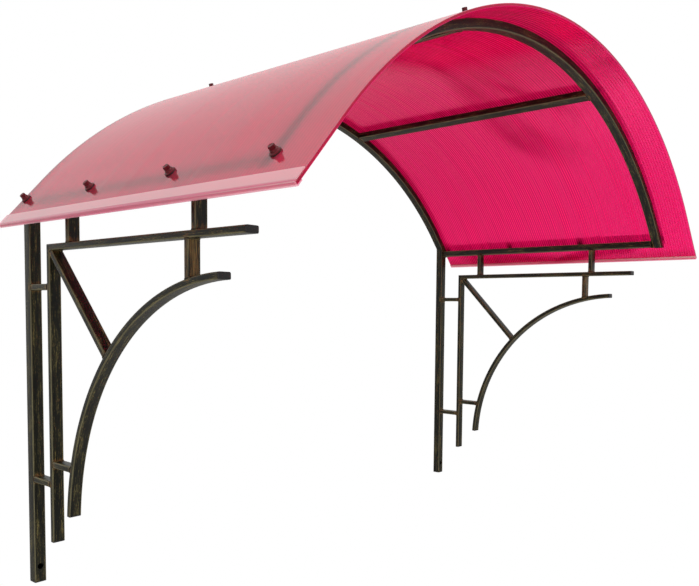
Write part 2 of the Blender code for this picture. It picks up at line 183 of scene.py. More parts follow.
@dataclass(frozen=True)
class PatinaPaint(Finish):
    """Near-black enamel on steel tube, dry brushed with olive and gold patina along each tube.

    The dry brush leaves fine lines along the tube, catches its corners and puts a tan tone where
    a weld was touched up. The light colour on the corners is both that dry-brush wear and a painted
    highlight of the rounded edges. The satin enamel shows a soft sheen. A cover is the noise at
    which a colour starts, the noise at which it is full, and how far it then hides what is under it.
    """

    dark: str = "#090a04"
    brown: str = "#141309"
    ground_stops: tuple[float, float] = (0.38, 0.60)
    olive: str = "#33331a"
    olive_cover: Cover = (0.79, 1.00, 1.0)
    touched_up: str = "#8c683c"
    touched_up_cover: Cover = (0.54, 0.72, 0.8)
    gold: str = "#766a40"
    gold_cover: Cover = (1.15, 1.32, 0.7)
    # Light colour on the corners: dry-brush wear and a painted highlight of the rounded edges
    corner: str = "#80795a"
    corner_wear_and_highlight_cover: Cover = (0.0, 1.0, 1.0)
    streak_length: float = 0.030
    streak_width: float = 0.0012
    patch_length: float = 0.070
    patch_width: float = 0.009
    patch_share: float = 0.55
    fleck_size: float = 0.0016
    fleck_share: float = 0.6
    roughness: tuple[float, float] = (0.30, 0.55)
    ior: float = 1.38
    specular: float = 0.28
    bump: float = 0.00010

    def brushed(self, run: Socket, length: float, width: float, detail: float) -> Socket:
        """Noise drawn out along the tube.

        Args:
            run: Metres along and around the tube.
            length: Length of a stroke.
            width: Width of a stroke.
            detail: Detail of the noise.

        Returns:
            The noise, from 0 to 1.
        """
        tree = run.id_data
        drawn = add_node(tree, "Mapping", {"Vector": run, "Scale": (1 / length, 1 / width, 1.0)})
        return add_node(tree, "TexNoise", {"Vector": drawn, "Scale": 1.0, "Detail": detail, "Roughness": 0.6})

    def dress(self, tree: Tree) -> None:
        """Lays olive, touched-up paint, gold and worn corners with a painted highlight over the dark ground.

        Args:
            tree: The material's nodes.
        """
        run = add_node(tree, "UVMap", uv_map=RUN_MAP)
        streaks = self.brushed(run, self.streak_length, self.streak_width, 4.0)
        patches = self.brushed(run, self.patch_length, self.patch_width, 3.0)
        flecks = self.brushed(run, 3 * self.fleck_size, self.fleck_size, 2.0)
        strokes = add_node(tree, "Math", (patches, self.patch_share, streaks), operation="MULTIPLY_ADD")
        sparse = add_node(tree, "Math", (flecks, self.fleck_share, strokes), operation="MULTIPLY_ADD")
        wear, heat = (add_node(tree, "Attribute", take="Fac", attribute_name=label) for label in (WEAR, HEAT))
        # Corner colour where the dry brush rubs, which also serves as a painted highlight of the rounded
        # edges
        rubbed_and_highlit = add_node(tree, "Math", (wear, streaks), operation="MULTIPLY")
        daubed = add_node(tree, "Math", (heat, strokes), operation="MULTIPLY")

        colour = add_node(tree, "ValToRGB", (patches,))
        set_ramp(colour.node, tuple(zip(self.ground_stops, (self.dark, self.brown))))
        for layer, amount, (start, full, hides) in (
                (self.olive, strokes, self.olive_cover), (self.touched_up, daubed, self.touched_up_cover),
                (self.gold, sparse, self.gold_cover), (self.corner, rubbed_and_highlit, self.corner_wear_and_highlight_cover)):
            share = add_node(tree, "MapRange", (amount, start, full, 0.0, hides))
            colour = add_node(tree, "Mix", {0: share, 6: colour, 7: linear(layer)}, 2, data_type="RGBA")
        fill(tree.nodes[PRINCIPLED], {
            "Base Color": colour, "IOR": self.ior, "Specular IOR Level": self.specular,
            "Roughness": add_node(tree, "MapRange", (streaks, *NOISE_SPAN, *self.roughness)),
            "Normal": add_node(tree, "Bump", {"Height": sparse, "Strength": 0.5, "Distance": self.bump})})


@dataclass(frozen=True)
class ClearPlastic(Finish):
    """Tinted extruded polycarbonate: glossy, partly clear, and glowing with the light behind it.

    Each solid wall acts once, where a ray enters it. The far side of the wall is left clear. Part of
    the body mirrors in its own colour, as light does that the next wall throws back through the
    tint. Fine lines lie over the ribs of a twin-wall sheet, where a bump draws the skins in. Over each
    rib the wall is also less clear by rib_shade and glows more by rib_glow, a painted shade of the
    rib seen through the skin, and between ribs it is the other way round. The body is deeper where
    a strip covers cut cells.
    """

    seen_through: str
    glow: str
    body: str
    over_cells: str = ""
    clear_share: float = 0.5
    glow_share: float = 0.5
    ior: float = 1.585
    thrown_back: float = 0.0
    coat: float = 0.0
    coat_ior: float = 1.585
    roughness: float = 0.10
    rib_pitch: float = 0.0
    rib_start: float = 0.0
    rib_shade: float = 0.0
    rib_glow: float = 0.0
    sink: float = 0.00003
    streak_length: float = 0.50
    streak_width: float = 0.011
    streak_depth: float = 0.0

    def rib_wave(self, place: Socket) -> Socket:
        """Wave with its top on each rib: cos(2 pi * (-Y - start) / pitch).

        Args:
            place: Object coordinates.

        Returns:
            The wave, from -1 to 1.
        """
        tree = place.id_data
        turn = -2 * math.pi / self.rib_pitch
        out = add_node(tree, "SeparateXYZ", (place,), "Y")
        phase = add_node(tree, "Math", (out, turn, turn * self.rib_start), operation="MULTIPLY_ADD")
        return add_node(tree, "Math", (phase,), operation="COSINE")

    def drawn_glow(self, place: Socket) -> Socket:
        """Share of the body that glows, with faint lines that the extruder's die draws along the ribs.

        Args:
            place: Object coordinates.

        Returns:
            The share, glow_share plus or minus streak_depth.
        """
        tree = place.id_data
        stretch = (1 / self.streak_length, 1 / self.streak_width, 1 / self.streak_length)
        drawn = add_node(tree, "Mapping", {"Vector": place, "Scale": stretch})
        lines = add_node(tree, "TexNoise", {"Vector": drawn, "Scale": 1.0, "Detail": 3.0})
        return add_node(tree, "MapRange", (
            lines, *NOISE_SPAN, self.glow_share - self.streak_depth, self.glow_share + self.streak_depth))

    def dress(self, tree: Tree) -> None:
        """Mixes body, glow and clear plastic where a ray enters a wall.

        Args:
            tree: The material's nodes.
        """
        shader, body = tree.nodes[PRINCIPLED], linear(self.body)
        if self.over_cells:
            cover = add_node(tree, "Attribute", take="Fac", attribute_name=WEAR)
            body = add_node(tree, "Mix", {0: cover, 6: body, 7: linear(self.over_cells)}, 2, data_type="RGBA")
        fill(shader, {"Base Color": body, "Metallic": self.thrown_back, "IOR": self.ior,
                      "Roughness": self.roughness, "Coat Roughness": self.roughness,
                      "Coat Weight": self.coat, "Coat IOR": self.coat_ior})
        fresnel = add_node(tree, "Fresnel", (self.ior,))
        clear_share = add_node(tree, "Math", (fresnel, -self.clear_share, self.clear_share),
                               operation="MULTIPLY_ADD")
        place = add_node(tree, "TexCoord", take="Object")
        glow_share = self.drawn_glow(place) if self.streak_depth else self.glow_share
        if self.rib_pitch:
            wave = self.rib_wave(place)
            bump = add_node(tree, "Bump", {"Height": wave, "Strength": 1.0, "Distance": self.sink})
            fill(shader, {"Normal": bump})
            # Painted shade of each rib seen through the skin: less clear and more glow over the rib
            clear_share, glow_share = (
                add_node(tree, "Math", (wave, change, share), operation="MULTIPLY_ADD", use_clamp=True)
                for change, share in ((-self.rib_shade, clear_share), (self.rib_glow, glow_share)))
        glow = add_node(tree, "BsdfTranslucent", (linear(self.glow),))
        clear = add_node(tree, "BsdfTransparent", (linear(self.seen_through),))
        lit = add_node(tree, "MixShader", (glow_share, shader.outputs["BSDF"], glow))
        entering = add_node(tree, "MixShader", (clear_share, lit, clear))
        leaving = add_node(tree, "BsdfTransparent")
        side = add_node(tree, "NewGeometry", take="Backfacing")
        fill(tree.nodes[OUTPUT], (add_node(tree, "MixShader", (side, entering, leaving)),))


@dataclass(frozen=True)
class SpeckledSolid(Finish):
    """A plain painted, rubber or moulded surface with fine speckle and uneven gloss."""

    base: str
    speck: str
    speck_size: float
    roughness: float
    specular: float = 0.3
    bump: float = 0.00004
    speck_stops: tuple[float, float] = (0.4, 0.65)
    uneven: float = 0.08

    def dress(self, tree: Tree) -> None:
        """Sets one noise to work on colour, gloss and bump.

        Args:
            tree: The material's nodes.
        """
        place = add_node(tree, "TexCoord", take="Object")
        specks = add_node(tree, "TexNoise", {"Vector": place, "Scale": 1 / self.speck_size, "Detail": 3.0})
        colours = add_node(tree, "ValToRGB", (specks,))
        set_ramp(colours.node, tuple(zip(self.speck_stops, (self.base, self.speck))))
        gloss = add_node(tree, "MapRange", (
            specks, *NOISE_SPAN, self.roughness - self.uneven, self.roughness + self.uneven))
        fill(tree.nodes[PRINCIPLED], {
            "Base Color": colours, "Roughness": gloss, "Specular IOR Level": self.specular,
            "Normal": add_node(tree, "Bump", {"Height": specks, "Strength": 0.4, "Distance": self.bump})})


PAINTED_TUBE = PatinaPaint("patina_enamel_on_steel_tube")
# Thicker paint of a lighter brown on the ripples of a bead
PAINTED_WELD = PatinaPaint("patina_enamel_on_weld", streak_length=0.006, brown="#3a2f1b", olive="#6b5f38")
# Extruded twin-wall sheet: weather side with a hard glossy skin, which looks paler for its sheen
OUTER_SKIN = ClearPlastic(
    "crimson_polycarbonate_outer_skin", "#fc78b4", "#fc4c90", "#844c5a", clear_share=0.26, glow_share=0.48,
    ior=1.9, coat=1.0, coat_ior=1.68, roughness=0.10, rib_shade=0.04, sink=0.000012, streak_depth=0.04)
# Its underside, saturated by the light that comes through, with every rib showing as a fine line of painted
# rib shade
INNER_SKIN = ClearPlastic(
    "crimson_polycarbonate_inner_skin", "#ff5cbc", "#fb3fa8", "#fb2a7e", clear_share=0.13, glow_share=0.50,
    ior=1.45, thrown_back=0.85, coat=0.20, roughness=0.08, rib_shade=0.17, rib_glow=0.25, sink=0.00006,
    streak_depth=0.12)
# Its ribs, darker because they are seen through more plastic
RIBS = ClearPlastic("crimson_polycarbonate_ribs", "#f04c90", "#f03088", "#80082e",
                    clear_share=0.15, glow_share=0.40, ior=1.4)
# Clear extruded strip, which takes the sheet's tint over the cut cells
END_STRIP = ClearPlastic("clear_polycarbonate_strip", "#fab4c8", "#f09ab4", "#eab4ba", "#c83068",
                         clear_share=0.38, glow_share=0.22, ior=1.8, coat=1.0, coat_ior=1.7, roughness=0.16)
# Powder coat on a formed screw head, satin with a fine orange peel
WINE_RED_COAT = SpeckledSolid("wine_red_coated_steel", "#45060f", "#5e0c18", 0.0015, 0.40, 0.22)
# Moulded rubber, dull and nearly black
SEAL_RUBBER = SpeckledSolid("epdm_rubber", "#16090b", "#22100f", 0.0008, 0.6)
# Injection moulded plastic, evenly satin
PLUG_PLASTIC = SpeckledSolid("moulded_polyethylene", "#131211", "#1e1c1b", 0.0012, 0.50)


# Meshes


def add_object(name: str, data: bpy.types.ID) -> bpy.types.Object:
    """Makes an object and links it to the scene.

    Args:
        name: Name of the object.
        data: Its mesh, lamp or camera.

    Returns:
        The object.
    """
    made = bpy.data.objects.new(name, data)
    bpy.context.scene.collection.objects.link(made)
    return made


def smooth(mesh: bpy.types.Mesh, sharp: float = SHARP) -> None:
    """Shades a mesh smooth between its sharp edges, which turn by more than sharp degrees."""
    mesh.shade_smooth()
    mesh.set_sharp_from_angle(angle=math.radians(sharp))


@dataclass
class Surface:
    """Grids of quads that become one mesh, with the length run along and around each as a UV map."""

    points: list[Array] = field(default_factory=list)
    quads: list[Array] = field(default_factory=list)
    runs: list[Array] = field(default_factory=list)
    wears: list[Array] = field(default_factory=list)
    hot_spots: list[Array] = field(default_factory=list)
    hot_reach: float = 0.020
    count: int = 0

    def add(self, grid: Array, wrap: bool = False, wear: Array | None = None,
            start: float = 0.0) -> "Surface":
        """Adds a grid of points. Point (i, j) joins its neighbours in i and in j.

        Args:
            grid: Points, as rows by columns by three.
            wrap: Whether the last column joins the first.
            wear: How much a corner shows at each column, from 0 to 1.
            start: Length that the run map starts from.

        Returns:
            This surface.
        """
        rows, columns, _ = grid.shape
        index = np.arange(rows * columns).reshape(rows, columns)
        closed, looped = (np.concatenate([each, each[:, :1]], axis=1) if wrap else each
                          for each in (index, grid))
        quads = np.stack([closed[:-1, :-1], closed[1:, :-1], closed[1:, 1:], closed[:-1, 1:]], axis=-1)
        down = np.linalg.norm(np.diff(looped, axis=0), axis=2).mean(axis=1)
        across = np.linalg.norm(np.diff(looped, axis=1), axis=2).max(axis=0)
        u = start + np.concatenate([[0.0], np.cumsum(down)])
        v = np.concatenate([[0.0], np.cumsum(across)])
        corner_u = np.stack([u[:-1], u[1:], u[1:], u[:-1]], axis=-1)[:, None, :]
        corner_v = np.stack([v[:-1], v[:-1], v[1:], v[1:]], axis=-1)[None, :, :]
        run = np.stack(np.broadcast_arrays(corner_u, corner_v), axis=-1)
        shown = np.zeros(columns) if wear is None else wear
        self.points.append(grid.reshape(-1, 3))
        self.quads.append(quads.reshape(-1, 4) + self.count)
        self.runs.append(run.reshape(-1, 2))
        self.wears.append(np.broadcast_to(shown, (rows, columns)).reshape(-1))
        self.count += rows * columns
        return self

    def heat(self) -> Array:
        """How near each point is to a weld: exp(-(distance / reach) squared) to the nearest one.

        Returns:
            Values from 0 to 1, one for each point.
        """
        points = np.concatenate(self.points)
        if not self.hot_spots:
            return np.zeros(len(points))
        apart = np.linalg.norm(points[:, None] - np.array(self.hot_spots)[None], axis=2)
        return np.exp(-(apart.min(axis=1) / self.hot_reach) ** 2)

    def mesh(self, name: str, mapped: bool = True) -> bpy.types.Mesh:
        """Makes the mesh, with its seams merged and its faces outwards.

        Args:
            name: Name of the mesh.
            mapped: Whether it gets the maps that finishes read.

        Returns:
            The mesh.
        """
        mesh = bpy.data.meshes.new(name)
        mesh.from_pydata(np.concatenate(self.points), [], np.concatenate(self.quads))
        if mapped:
            mesh.uv_layers.new(name=RUN_MAP).data.foreach_set("uv", np.concatenate(self.runs).ravel())
            for label, values in ((WEAR, np.concatenate(self.wears)), (HEAT, self.heat())):
                mesh.attributes.new(label, "FLOAT", "POINT").data.foreach_set("value", values)
        bm = bmesh.new()
        bm.from_mesh(mesh)
        bmesh.ops.remove_doubles(bm, verts=bm.verts, dist=MERGED)
        bmesh.ops.recalc_face_normals(bm, faces=bm.faces)
        bm.to_mesh(mesh)
        bm.free()
        return mesh

    def piece(self, name: str, finish: Finish, slot: str, stands_for: str = "",
              sharp: float = SHARP) -> bpy.types.Object:
        """Makes the object, with its place in its mesh.

        Args:
            name: Name of the object.
            finish: Its finish.
            slot: Not used.
            stands_for: CAD node that it is shown in place of.
            sharp: Degrees above which an edge stays sharp.

        Returns:
            The object.
        """
        mesh = self.mesh(name)
        mesh.materials.append(finish.material())
        smooth(mesh, sharp)
        obj = add_object(name, mesh)
        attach(obj, BODY)
        if stands_for:
            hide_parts(stands_for)
        LOG.info("%s: %d faces", name, len(mesh.polygons))
        return obj


def unit(vectors: Array) -> Array:
    """Scales vectors in the last axis to length one."""
    return vectors / np.linalg.norm(vectors, axis=-1, keepdims=True)


def rounded_section(width: float, depth: float, radius: float, steps: int = 5) -> tuple[Array, Array]:
    """Outline of a rectangle with quarter round corners, and how far each point is into its corner.

    Args:
        width: Size along the first axis.
        depth: Size along the second axis.
        radius: Radius of the corners.
        steps: Points on a quarter, less one.

    Returns:
        Points as columns of two, and a wear of 0 where a corner starts and 1 on its middle.
    """
    turn = np.linspace(0.0, 1.0, steps + 1)
    angles = np.concatenate([(quarter + turn) * math.pi / 2 for quarter in range(4)])
    signs = np.repeat(np.array([(1, 1), (-1, 1), (-1, -1), (1, -1)]), steps + 1, axis=0)
    centres = signs * np.array([width / 2 - radius, depth / 2 - radius])
    outline = centres + radius * np.stack([np.cos(angles), np.sin(angles)], axis=1)
    return outline, np.tile(np.sin(turn * math.pi), 4)


def carry(section: Array, centres: Array, across: Array, up: Array) -> Array:
    """Carries a section along a path: centre + first coordinate * across + second coordinate * up.

    Args:
        section: Points of the section, two columns.
        centres: Points of the path.
        across: Direction of the section's first axis at each of them.
        up: Direction of its second axis.

    Returns:
        A grid of points, path by section by three.
    """
    return (centres[:, None] + section[None, :, 0, None] * across[:, None]
            + section[None, :, 1, None] * up[:, None])


@dataclass(frozen=True)
class Plane:
    """A cutting plane."""

    point: Array
    normal: Array

    def slide(self, points: Array, direction: Array) -> Array:
        """Slides points along a direction until they lie on the plane.

        Args:
            points: Points in the last axis.
            direction: Direction to slide along.

        Returns:
            The points on the plane.
        """
        distance = (self.point - points) @ self.normal / (direction @ self.normal)
        return points + distance[..., None] * direction


@dataclass
class Tube:
    """Welded rectangular tube along a path, with round corners inside and out.

    An end that has two cuts gets the first one on the side that up points to.
    """

    name: str
    centres: Array
    across: Array
    up: Array
    width: float
    depth: float
    first_cuts: tuple[Plane, ...] = ()
    last_cuts: tuple[Plane, ...] = ()
    wall: float = 0.0015
    corner: float = 0.0022
    bore_corner: float = 0.0007

    def outline(self, inset: float, corner: float) -> tuple[Array, Array]:
        """Outer or inner wall with its ends cut.

        Args:
            inset: Distance of the wall inwards from the outer one.
            corner: Radius of its corners.

        Returns:
            Its grid, and the wear of the columns.
        """
        section, wear = rounded_section(self.width - 2 * inset, self.depth - 2 * inset, corner)
        grid = carry(section, self.centres, self.across, self.up)
        for row, other, cuts in ((0, 1, self.first_cuts), (-1, -2, self.last_cuts)):
            direction = unit(self.centres[row] - self.centres[other])
            above = section[:, 1] > 0
            for number, cut in enumerate(cuts):
                chosen = np.ones(len(section), bool) if len(cuts) == 1 else above == (number == 0)
                grid[row, chosen] = cut.slide(grid[row, chosen], direction)
        return grid, wear

    def build(self, start: float) -> Surface:
        """Outer wall, inner wall and the two cut faces between them.

        Args:
            start: Length that the run map starts from, so that no two tubes look alike.

        Returns:
            The closed surface.
        """
        outer, wear = self.outline(0.0, self.corner)
        inner, _ = self.outline(self.wall, self.bore_corner)
        surface = Surface().add(outer, True, wear, start).add(inner[::-1], True, None, start)
        for row in (0, -1):
            surface.add(np.stack([outer[row], inner[row]]), True, None, start)
        return surface

    def rim(self, last: bool) -> tuple[Array, Array]:
        """Outer edge of one end.

        Args:
            last: Whether it is the last end.

        Returns:
            The edge's points, and the direction out of the tube there.
        """
        outer, _ = self.outline(0.0, self.corner)
        row, other = (-1, -2) if last else (0, 1)
        return outer[row], unit(self.centres[row] - self.centres[other])


def straight(name: str, start: Array, end: Array, across: Array, size: tuple[float, float],
             **more: object) -> Tube:
    """A straight tube between two points.

    Args:
        name: CAD node that the tube is shown in place of.
        start: Middle of its first end.
        end: Middle of its last end.
        across: Direction of its width.
        size: Width and depth.
        more: Other fields of the tube.

    Returns:
        The tube.
    """
    rows = max(3, int(np.linalg.norm(end - start) / ROW_SPACING))
    centres = start + np.linspace(0.0, 1.0, rows)[:, None] * (end - start)
    up = unit(np.cross(end - start, across))
    across, up = (np.broadcast_to(each, centres.shape) for each in (across, up))
    return Tube(name, centres, across, up, *size, **more)


@dataclass(frozen=True)
class WeldBead:
    """Fillet weld round the end of a tube, ground down on the flush sides."""

    radius: float = 0.0019
    flush_share: float = 0.45
    sunk_share: float = 0.45
    ripple: float = 0.16
    ripple_pitch: float = 0.0024
    wander: tuple[float, float] = (0.12, 0.08)
    spacing: float = 0.0009
    fewest: int = 24
    sides: int = 8

    def around(self, rim: Array, outward: Array, seed: int) -> Array:
        """Carries a small circle along the tube's rim.

        The circle's radius is radius * (1 + ripple * sin(length / pitch) + a slow wander), and
        less where the rim faces along X, where the tubes are flush. Nothing stands into the wall.

        Args:
            rim: Closed path of points.
            outward: Direction out of the tube.
            seed: Number that shifts the wander.

        Returns:
            A grid that wraps in both directions.
        """
        closed = np.concatenate([rim, rim[:1]])
        length = np.concatenate([[0.0], np.cumsum(np.linalg.norm(np.diff(closed, axis=0), axis=1))])
        count = max(self.fewest, int(length[-1] / self.spacing))
        places = np.linspace(0.0, length[-1], count, endpoint=False)
        path = np.stack([np.interp(places, length, closed[:, k]) for k in range(3)], axis=1)
        tangent = unit(np.roll(path, -1, axis=0) - np.roll(path, 1, axis=0))
        outwards = np.broadcast_to(outward, path.shape)
        side = unit(np.cross(tangent, outwards))
        side *= np.sign(((path - path.mean(axis=0)) * side).sum(axis=1).mean())
        wander = (self.wander[0] * np.sin(places / length[-1] * 4 * math.pi + seed)
                  + self.wander[1] * np.sin(places / length[-1] * 14 * math.pi + 2.3 * seed))
        radius = self.radius * (1 + self.ripple * np.sin(2 * math.pi * places / self.ripple_pitch) + wander)
        radius = radius * (1 - self.flush_share * side[:, 0] ** 2)
        angle = np.linspace(0.0, 2 * math.pi, self.sides, endpoint=False)
        ring = (np.cos(angle)[None, :, None] * side[:, None]
                + np.sin(angle)[None, :, None] * outwards[:, None])
        grid = (path - self.sunk_share * radius[:, None] * side)[:, None] + radius[:, None, None] * ring
        grid[..., 1] = np.minimum(grid[..., 1], 0.0)
        return np.concatenate([grid, grid[:1]])


# Sizes that the pieces share


@dataclass(frozen=True)
class VaultCurve:
    """The vault's round middle and straight ends, measured along the outer side of its tubes."""

    radius: float = 0.7507
    tube_depth: float = 0.015
    tube_width: float = 0.020
    straight_end: float = 0.0558
    corner: float = 0.0022
    frame_width: float = 1.200
    rail_outset: float = 0.006
    frame_depth: float = 0.645
    gap: float = 0.0003

    @property
    def centre(self) -> float:
        """Height of the vault's centre."""
        return self.tube_depth / 2 - self.radius

    @property
    def half_angle(self) -> float:
        """Angle at which the round middle ends, where the rail's edge touches the sheet.

        Returns:
            The angle from the crown.
        """
        edge = self.frame_width / 2 + self.rail_outset - self.corner
        reach = self.radius - self.corner
        return math.asin(edge / math.hypot(reach, self.straight_end)) - math.atan2(self.straight_end, reach)

    @property
    def turn(self) -> float:
        """Length of half of the round middle."""
        return self.radius * self.half_angle

    @property
    def edge_along(self) -> float:
        """Length along the vault from its crown to the rail's upper outer edge."""
        return self.turn + self.straight_end

    @property
    def rail_bottom(self) -> float:
        """Height of the underside of the rails.

        Returns:
            The height.
        """
        reach = self.radius - self.corner
        edge = reach * math.cos(self.half_angle) - self.straight_end * math.sin(self.half_angle)
        return self.centre + edge + self.corner - self.tube_depth

    def frame(self, along: Array) -> tuple[Array, Array]:
        """Outward normal and downhill direction at lengths along the vault.

        The angle from the crown is length / radius, held to the half angle on the straight ends.

        Args:
            along: Lengths from the crown, positive towards +X.

        Returns:
            Normals and downhill directions, three columns each.
        """
        angle = np.clip(np.asarray(along, float) / self.radius, -self.half_angle, self.half_angle)
        zero = np.zeros_like(angle)
        normal = np.stack([np.sin(angle), zero, np.cos(angle)], axis=-1)
        return normal, np.stack([np.cos(angle), zero, -np.sin(angle)], axis=-1)

    def points(self, along: Array, rise: float) -> Array:
        """Points at lengths along the vault, a rise above the outer side of its tubes.

        A point is centre + (radius + rise) * normal, and past the round middle it goes on downhill.

        Args:
            along: Lengths from the crown.
            rise: Height above the tubes' outer side, negative inside the vault.

        Returns:
            Points in the plane Y = 0, three columns.
        """
        normal, downhill = self.frame(along)
        spare = np.clip(np.abs(along) - self.turn, 0.0, None) * np.sign(along)
        flat = (self.radius + rise) * normal + np.asarray(spare)[..., None] * downhill
        return flat + ALONG_Z * self.centre

    def stations(self, half_length: float, steps: int) -> Array:
        """Lengths along the vault: its two ends and even steps over the round middle."""
        return np.concatenate([[-half_length], np.linspace(-self.turn, self.turn, steps + 1), [half_length]])


VAULT = VaultCurve()
ALONG_X, ALONG_Y, ALONG_Z = np.eye(3)


# Frame


@dataclass
class WeldedFrame:
    """A set of tubes, and one piece that holds all of their weld beads."""

    label: str
    tubes: list[Tube] = field(default_factory=list)
    beads: Surface = field(default_factory=Surface)
    bead: WeldBead = WeldBead()
    weld_places: list[Array] = field(default_factory=list)
    run_shift: float = 0.731

    def add(self, tube: Tube, first: bool, last: bool) -> None:
        """Keeps a tube and lays a bead round one or both of its ends.

        Args:
            tube: The tube.
            first: Whether its first end is welded.
            last: Whether its last end is.
        """
        self.tubes.append(tube)
        for wanted, at_last in ((first, False), (last, True)):
            if wanted:
                rim, outward = tube.rim(at_last)
                self.weld_places.append(rim.mean(axis=0))
                self.beads.add(self.bead.around(rim, outward, len(self.weld_places)), wrap=True)

    def dress(self) -> None:
        """Makes the pieces of every tube and of the beads."""
        for number, tube in enumerate(self.tubes):
            self.finish_tube(tube, tube.build(self.run_shift * (number + 1)))
        self.beads.piece(f"{self.label}_welds", PAINTED_WELD, "steel", sharp=60.0)

    def finish_tube(self, tube: Tube, surface: Surface) -> bpy.types.Object:
        """Makes the piece of one tube, touched up near the welds."""
        surface.hot_spots = self.weld_places
        return surface.piece(f"{tube.name}_tube", PAINTED_TUBE, "steel", tube.name)


@dataclass
class VaultFrame(WeldedFrame):
    """Two arches with the rails and purlins between them."""

    label: str = "vault"
    steps: int = 96

    def arch(self, name: str, out: float) -> Tube:
        """One arch, its ends cut level with the rails' undersides.

        Args:
            name: CAD node of the arch.
            out: Distance of its rear face from the wall.

        Returns:
            The tube.
        """
        along = VAULT.stations(VAULT.edge_along, self.steps)
        normal, _ = VAULT.frame(along)
        centres = VAULT.points(along, -VAULT.tube_depth / 2) - ALONG_Y * (out + VAULT.tube_width / 2)
        level = Plane(ALONG_Z * VAULT.rail_bottom, ALONG_Z)
        across = np.broadcast_to(ALONG_Y, centres.shape)
        return Tube(name, centres, across, normal, VAULT.tube_width, VAULT.tube_depth, (level,), (level,))

    def bar(self, name: str, centre: Array, across: Array) -> None:
        """Adds a straight tube from the rear arch to the front arch.

        Args:
            name: CAD node of the tube.
            centre: Where its middle line meets the wall.
            across: Direction of its width.
        """
        start = centre - ALONG_Y * (VAULT.tube_width + VAULT.gap)
        end = centre - ALONG_Y * (VAULT.frame_depth - VAULT.tube_width - VAULT.gap)
        self.add(straight(name, start, end, across, (VAULT.tube_width, VAULT.tube_depth)), True, True)

    def build(self) -> None:
        """Lays out the tubes and dresses them."""
        self.add(self.arch("rear_arch", 0.0), False, False)
        self.add(self.arch("front_arch", VAULT.frame_depth - VAULT.tube_width), False, False)
        half = VAULT.tube_depth / 2
        for side in Side:
            x = side.value * (VAULT.frame_width / 2 + VAULT.rail_outset - VAULT.tube_width / 2)
            self.bar(f"{side.label}_rail", np.array([x, 0.0, VAULT.rail_bottom + half]), ALONG_X)
            place = side.value * VAULT.edge_along / 3
            _, downhill = VAULT.frame(place)
            self.bar(f"{side.label}_purlin", VAULT.points(place, -half), downhill)
        self.dress()


